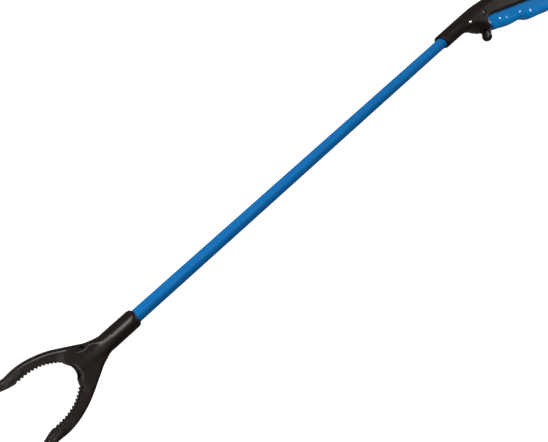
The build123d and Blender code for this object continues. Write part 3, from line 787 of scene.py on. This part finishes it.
top_line = line((MOUTH_X - MOUTH_RAKE, MOUTH_TOP), (8, MOUTH_TOP))
crest = spline(
    [(8, MOUTH_TOP), (42, 7.3), (90, -0.6), (134, -7.4)],
    (1, 0),
    (0.98, -0.16),
)
butt = spline([(134, -7.4), (158, -23), (146, -43.5)], (0.98, -0.16), (-0.95, 0.2))
skirt = line((146, -43.5), (94, -28.3)) + line((94, -28.3), (46, -15.7))
skirt += spline([(46, -15.7), (26.4, -11.7), (24.1, -12.0), (22.6, -17)], step=0.6)
NECK_TOP = (20.0, -26.6)
NECK_R = 5.8
KNOB_LEAN = math.degrees(math.atan2(NECK_TOP[1] - KNOB_AT[1], NECK_TOP[0] - KNOB_AT[0])) - 90
knob_joint = [around(KNOB_AT, KNOB_R, KNOB_LEAN + a) for a in (12, -90, 168)]
neck_side = [around(NECK_TOP, NECK_R, KNOB_LEAN + a) for a in (0, 180)]
neck_rear = spline(
    [(22.6, -17), (22.3, -20.4), (23.9, -23.4), neck_side[0], knob_joint[0]],
    (-0.2, -1),
    step=0.6,
)
knob_arc = bend(*knob_joint)
under = spline(
    [knob_joint[2], neck_side[1], (12.6, -21.9), (4.4, -15.2), (-13, -9.2), (-26, MOUTH_LOW)],
    None,
    (-1, 0),
)
nose_run = under[next(i for i, q in enumerate(under) if q[1] > -21.9) :]
low_line = line((-26, MOUTH_LOW), (MOUTH_X + MOUTH_RAKE, MOUTH_LOW))
mouth_line = line((MOUTH_X + MOUTH_RAKE, MOUTH_LOW), (MOUTH_X - MOUTH_RAKE, MOUTH_TOP))
handle_outline = loop(
    top_line, crest, butt, skirt, neck_rear, knob_arc, under, low_line, mouth_line
)
chin = spline([(22.6, -17), (20.6, -22.4), (17.4, -24.2), nose_run[0]])
rounded_rim = [top_line + crest + butt, nose_run + low_line]
body_outline = loop(top_line, crest, butt, skirt, chin, nose_run, low_line, mouth_line)


def handle_height(p, side):
    """Half thickness of the handle: a round mouth, full sides, and a ball on a neck."""
    x, y = p[:, 0], p[:, 1]
    thick = hermite(x, -50, -10, 9.1, HALF_T)
    body = thick - crown(distance(p, rounded_rim[0]), hermite(x, -20, 60, 8.6, 7.0), thick - 0.6)
    nose_reach, nose_drop = hermite(x, -30, 0, 8.4, 7.6), thick - 0.6
    if side < 0:
        # The far half has a small round here, so that it covers its front screw.
        nose_reach = hermite(x, -24, -8, 8.4, 2.2)
        nose_drop = hermite(x, -24, -8, 8.4, 1.8)
    body -= crown(distance(p, rounded_rim[1]), nose_reach, nose_drop)
    body -= crown(distance(p, chin), 3.4, 3.4)
    body -= crown(distance(p, skirt), 3.0, 2.4)
    body -= crown(distance(p, mouth_line), 0.7, 0.6)
    body = np.where(inside(p, body_outline), body, -2)
    ball = np.sqrt(np.clip(KNOB_R**2 - np.hypot(x - KNOB_AT[0], y - KNOB_AT[1]) ** 2, 0, None))
    lean = math.radians(KNOB_LEAN + 90)
    along = (x - KNOB_AT[0]) * math.cos(lean) + (y - KNOB_AT[1]) * math.sin(lean)
    off = (y - KNOB_AT[1]) * math.cos(lean) - (x - KNOB_AT[0]) * math.sin(lean)
    neck = np.sqrt(np.clip(NECK_R**2 - off**2, 0, None)) * (along > 0) * (along < 12)
    return smooth_max(body, np.maximum(ball, neck), 1.8)


def handle_shell(name, side):
    """One half of the handle, with the tube's bore and the way that the trigger moves in."""

    def height(p):
        return handle_height(p, side)

    shell = relief(name + "_moulded", handle_outline, height, side, grid=2.4)
    z0 = HALF_T
    way = [(2, 6.6), (12, 6.4), (42, 3.6), (90, -4.4), (134, -11.4), (145, -14.2)]
    way += [(151.2, -22), (150.6, -60), (40, -60), (27.5, -31), (26.4, -27.2)]
    way += [(22.9, -22.6), (18.2, -21.0), (8.4, -12.6), (2, -7.6)]
    low, high = sorted((z0 - side * 3, z0 + side * CHANNEL_HALF))
    bottom, top = sorted((z0 + side * (HALF_T - RIVET_SUNK), z0 + side * (HALF_T + 2)))
    through = sorted((z0 - side, z0 + side * 14))
    cutters = [
        prism("way", way[::-1], low, high),
        rod_along("bore", MOUTH_X - 12, 2.5, 0, z0, TUBE_BORE_R),
        prism("rivet_seat", circle(RIVET_AT, RIVET_SEAT_R), bottom, top),
        prism("pin_seat", circle(PIVOT_AT, PIN_SEAT_R), bottom, top),
        prism("pin_hole", circle(PIVOT_AT, PIN_HOLE_R), *through),
    ]
    if side < 0:
        seats = [circle(c, SCREW_SEAT_R) for c in HANDLE_SCREWS]
        cutters += [prism("seat", seat, -3, HANDLE_SCREW_SEAT) for seat in seats]
    combine(shell, cutters)
    return dress(tidy_mesh(shell), "black", "frame", name)


# Trigger --------------------------------------------------------------------------

TRIGGER_HALF_T = 8.0
EAR_R = 6.0
TROUGH_HALF = 5.2
FORK_HALF = 4.4
PIVOT_HOLE_R = 2.58
lip = spline(
    [
        (28.4, -29.6),
        (41, -33.6),
        (57, -39),
        (76, -42.7),
        (84, -45.4),
        (92, -50.3),
        (101, -53.5),
        (114, -56.5),
        (133, -61.6),
    ],
    (0.93, -0.36),
    (0.96, -0.26),
)
heel_run = bend((133, -61.6), (141.6, -57), (140, -45))
back_run = line((140, -45), (133, -36.4)) + line((133, -36.4), (93, -26))
back_run += line((93, -26), (60, -15.5)) + line((60, -15.5), (27, -7.6))
ear_arc = [around(PIVOT_AT, EAR_R, a) for a in range(-40, 200, 8)]
shin = spline(
    [
        ear_arc[-1],
        (14.0, -12.0),
        (14.4, -18),
        (17.6, -20.2),
        (24.4, -21.4),
        (27.2, -25.4),
        (28.4, -29.6),
    ],
    step=0.6,
)
FACE_BUMPS = ((40.95, -23.4), (51.75, -28.0), (76.9, -34.6), (95.1, -43.0))
BUMP_RISE, BUMP_SPREAD = 0.8, 7.2
TRIGGER_RINGS = (0.08, 0.3, 0.7, 1.3, 2.1, 3.1, 4.3, 5.7, 7.4)


def trigger_body():
    """The finger lever, with four low bumps on each face and troughs in its back."""
    outline = loop(lip, heel_run, back_run, ear_arc, shin)
    toe = shin[-14:]

    def height(p):
        h = TRIGGER_HALF_T - 0.4 - crown(distance(p, lip), 7.0, 6.2)
        for x, y in FACE_BUMPS:
            h += BUMP_RISE * np.exp(-((p[:, 0] - x) ** 2 + (p[:, 1] - y) ** 2) / BUMP_SPREAD)
        h -= crown(distance(p, heel_run), 5.0, 4.6)
        h -= crown(distance(p, toe), 1.6, 1.4)
        h -= crown(distance(p, back_run), 0.8, 0.7)
        return np.maximum(h, 0.9)

    body = relief(
        "trigger_moulded", outline, height, 0, grid=1.9, rings=TRIGGER_RINGS, spots=FACE_BUMPS
    )
    z0 = HALF_T
    floor_x = (33, 57, 80, 100, 134)
    floor_y = (-26.8, -34.2, -38.6, -47.2, -55.6)
    cutters = []
    for a, b in ((33, 57), (59, 83), (85, 109), (111, 134)):
        xs = [a] + [x for x in floor_x if a < x < b] + [b]
        trough = [(x, np.interp(x, floor_x, floor_y)) for x in xs] + [(b, 4), (a, 4)]
        cutters.append(prism("trough", trough, z0 - TROUGH_HALF, z0 + TROUGH_HALF))
    fork = [(-0.5, -23), (27.5, -23), (27.5, 10), (-0.5, 10)]
    cutters.append(prism("fork", fork, z0 - FORK_HALF, z0 + FORK_HALF))
    cutters.append(prism("pivot_hole", circle(PIVOT_AT, PIVOT_HOLE_R), z0 - 12, z0 + 12))
    combine(body, cutters)
    return dress(tidy_mesh(body), "blue_plastic", "trigger", "trigger")


# Turned and drawn pieces -----------------------------------------------------------

TUBE_WALL = 0.9


def lathe(name, centre, profile, count=64):
    """A turned piece on an upright axis; profile is (radius, height) from bottom to top."""
    verts, faces, rows = [], [], []
    for r, z in profile:
        if r < 1e-6:
            rows.append([len(verts)] * count)
            verts.append((*centre, z))
        else:
            rows.append(list(range(len(verts), len(verts) + count)))
            verts += [(*around(centre, r, 360 * i / count), z) for i in range(count)]
    for a, b in zip(rows, rows[1:]):
        for i in range(count):
            j = (i + 1) % count
            face = [a[i], a[j], b[j], b[i]]
            face = [v for k, v in enumerate(face) if v not in face[:k]]
            if len(face) > 2:
                faces.append(tuple(face))
    return make(name, verts, faces)


def shaft_tube():
    """The drawn tube with rounded cut ends."""
    x0, x1 = TUBE_LOW.x / MM, TUBE_HIGH.x / MM
    r1 = (TUBE_HIGH.z - TUBE_LOW.z) / 2 / MM
    r0 = r1 - TUBE_WALL
    section = [(x0 + 0.3, r1), (x1 - 0.3, r1), (x1, r1 - 0.3), (x1, r0 + 0.2), (x1 - 0.2, r0)]
    section += [(x0 + 0.2, r0), (x0, r0 + 0.2), (x0, r1 - 0.3)]
    lengthwise = []
    for (xa, ra), (xb, rb) in zip(section, section[1:] + section[:1]):
        parts = max(1, int(abs(xb - xa) / 12))
        lengthwise += [
            (xa + (xb - xa) * k / parts, ra + (rb - ra) * k / parts) for k in range(parts)
        ]
    count = 96
    verts, faces = [], []
    for x, r in lengthwise:
        verts += [(x, *around((0, SHAFT_Z / MM), r, 360 * i / count)) for i in range(count)]
    m = len(lengthwise)
    for k in range(m):
        a, b = k * count, (k + 1) % m * count
        faces += [(a + i, a + (i + 1) % count, b + (i + 1) % count, b + i) for i in range(count)]
    tube = tidy_mesh(make("shaft_tube_drawn", verts, faces), 30)
    return dress(tube, "blue_tube", "frame", "shaft_tube")


def dome(radius, rise, z, way, steps=7):
    """Profile of a low dome ending on the axis, rising from z in the direction way."""
    sphere = (radius**2 + rise**2) / (2 * rise)
    out = []
    for r in np.linspace(radius, 0, steps):
        out.append((float(r), z + way * (rise - sphere + math.sqrt(sphere**2 - r**2))))
    return out


def rivets():
    """Two domed rivets clamping the handle halves on the shaft."""
    seat = HALF_T - RIVET_SUNK
    pieces = []
    for way in (1, -1):
        face = HALF_T + way * (seat + 0.1)
        profile = [(0, HALF_T + way * 3.6), (1.5, HALF_T + way * 3.6), (1.5, HALF_T + way * seat)]
        profile += [(2.4, HALF_T + way * seat), *dome(2.45, 0.97, face, way, 11)]
        pieces.append(lathe("rivet", RIVET_AT, profile[::way]))
    both = tidy_mesh(combine(pieces[0], pieces[1:], "UNION"), 30)
    return dress(both, "steel", "frame", "shaft_rivets")


def pivot_pin():
    """The trigger's pivot: a plain pin with a turned centre in each end."""
    half = HALF_T - 0.3
    end = [(0, half - 0.5), (0.5, half - 0.45), (0.8, half - 0.06), (1.1, half)]
    end += [(2.1, half), (2.38, half - 0.08), (2.5, half - 0.35)]
    profile = [(r, HALF_T - z) for r, z in end] + [(r, HALF_T + z) for r, z in end[::-1]]
    pin = tidy_mesh(lathe("trigger_pivot", PIVOT_AT, profile), 30)
    dress(pin, "steel", "frame", "trigger_pivot_pin")
    pin.data.materials[0] = DULL_STEEL
    return pin


def spring():
    """The jaw return spring, a coil of round wire built at one fixed length; the real one shortens
    as the rod is pulled.
    """
    low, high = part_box("jaw_return_spring")
    wire, turns, per_turn, count = 0.45, 7, 40, 12
    x0, x1 = low.x / MM + wire, high.x / MM - wire
    radius = (high.y - low.y) / 2 / MM - wire
    steps = turns * per_turn
    verts = []
    for k in range(steps + 1):
        t = math.tau * k / per_turn
        out = Vector((0, math.cos(t), math.sin(t)))
        centre = Vector((x0 + (x1 - x0) * k / steps, 0, HALF_T)) + out * radius
        for i in range(count):
            a = math.tau * i / count
            across = Vector((wire * math.sin(a), 0, 0))
            verts.append(tuple(centre + out * wire * math.cos(a) + across))
    faces = [tuple(range(count)), tuple(range(steps * count, (steps + 1) * count))[::-1]]
    for k in range(steps):
        a, b = k * count, (k + 1) * count
        faces += [(a + i, b + i, b + (i + 1) % count, a + (i + 1) % count) for i in range(count)]
    coil = tidy_mesh(make("return_spring", verts, faces), 60)
    dress(coil, "steel", "frame", "jaw_return_spring")
    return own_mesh(coil)


head_shell("head_shell_left", 1)
head_shell("head_shell_right", -1)
jaw("upper_jaw", 1)
jaw("lower_jaw", -1)
handle_shell("handle_shell_left", 1)
handle_shell("handle_shell_right", -1)
trigger_body()
shaft_tube()
rivets()
pivot_pin()
spring()

for node in frame["nodes"].values():
    for material in node.material_slots:
        material.material = FINISHES[material.material.name.split(".")[0]]

# Stage, light and camera -------------------------------------------------------------

FLOOR_SIZE = 12.0
WALL_HEIGHT = 7.0
WALL_SIDES = 96
PAPER_GLOW = 0.93
WORLD_GREY = 0.075
CENTRE = (CAD_LOW + CAD_HIGH) / 2


def paper(name, verts, faces):
    """A plain pale piece of the stage, matt, with the faintest mottling."""
    mesh = bpy.data.meshes.new(name)
    mesh.from_pydata(verts, [], faces)
    obj = bpy.data.objects.new(name, mesh)
    bpy.context.scene.collection.objects.link(obj)
    f = Finish(name + "_paper")
    f.set(Base_Color=f.ramp(f.noise(3, 3), 0.3, 0.7, (0.36, 0.36, 0.36), (0.38, 0.38, 0.38)))
    f.set(Roughness=0.9, Specular_IOR_Level=0.15)
    f.set(Emission_Color=(1, 1, 1, 1), Emission_Strength=PAPER_GLOW)
    mesh.materials.append(f.mat)
    obj.visible_glossy = False
    return obj


def floor():
    """The flat floor that the tool lies on."""
    half = FLOOR_SIZE / 2
    signs = ((-1, -1), (1, -1), (1, 1), (-1, 1))
    corners = [(CENTRE.x + sx * half, CENTRE.y + sy * half, 0) for sx, sy in signs]
    paper("floor", corners, [(0, 1, 2, 3)])


def backdrop():
    """A round wall on the floor, far behind the lights, that only closes the view."""
    n = WALL_SIDES
    ring = circle((CENTRE.x, CENTRE.y), FLOOR_SIZE / 2.1, n)
    verts = [(x, y, 0) for x, y in ring] + [(x, y, WALL_HEIGHT) for x, y in ring]
    obj = paper("backdrop", verts, [(i, n + i, n + (i + 1) % n, (i + 1) % n) for i in range(n)])
    obj.visible_diffuse = obj.visible_shadow = False


def softbox(name, towards, distance_m, size, power):
    """A soft light that far from the object's middle, facing it."""
    light = bpy.data.lights.new(name, "AREA")
    light.shape = "RECTANGLE"
    light.size, light.size_y = size
    light.energy = power
    obj = bpy.data.objects.new(name, light)
    bpy.context.scene.collection.objects.link(obj)
    way = Vector(towards).normalized()
    obj.location = Vector((CENTRE.x, CENTRE.y, 0)) + way * distance_m
    obj.rotation_mode = "QUATERNION"
    obj.rotation_quaternion = (-way).to_track_quat("-Z", "Y")


floor()
backdrop()
world = bpy.data.worlds.new("studio")
world.use_nodes = True
world.node_tree.nodes["Background"].inputs["Color"].default_value = (WORLD_GREY,) * 3 + (1,)
bpy.context.scene.world = world
# Each light: its name, the way to it, how far in metres, its size in metres, its power in watts.
for light_row in (
    ("key", (0.16, 0.43, 0.87), 2.2, (1.3, 1.0), 43),
    ("fill", (-0.40, -0.15, 0.85), 2.3, (1.0, 1.0), 13),
    ("mouth_strip", (-0.85, 0.45, 0.35), 1.9, (0.5, 0.15), 6),
    ("rim", (-0.564, 0.811, 0.229), 1.77, (0.35, 0.12), 24),
    ("lamp", (0.941, -0.163, 0.296), 1.9, (0.045, 0.045), 4.4),
):
    softbox(*light_row)

CAMERA_AT = Vector((HEAD_X * MM - 0.1673, 0.1594, SHAFT_Z + 0.6491))
RIGHT, UP = Vector((0.66074, -0.56401, 0.49529)), Vector((0.60647, 0.78994, 0.09048))
LENS_MM, SENSOR_MM = 49.8, 36.0
camera = bpy.data.objects.new("camera", bpy.data.cameras.new("camera"))
camera.data.lens = LENS_MM
camera.data.sensor_width = SENSOR_MM
camera.data.clip_start, camera.data.clip_end = 0.02, 50
turn = Matrix((RIGHT, UP, RIGHT.cross(UP))).transposed().to_quaternion()
camera.rotation_mode = "QUATERNION"
camera.rotation_quaternion = turn
camera.location = CAMERA_AT
bpy.context.scene.collection.objects.link(camera)
bpy.context.scene.camera = camera
bpy.context.scene.view_settings.view_transform = "Standard"
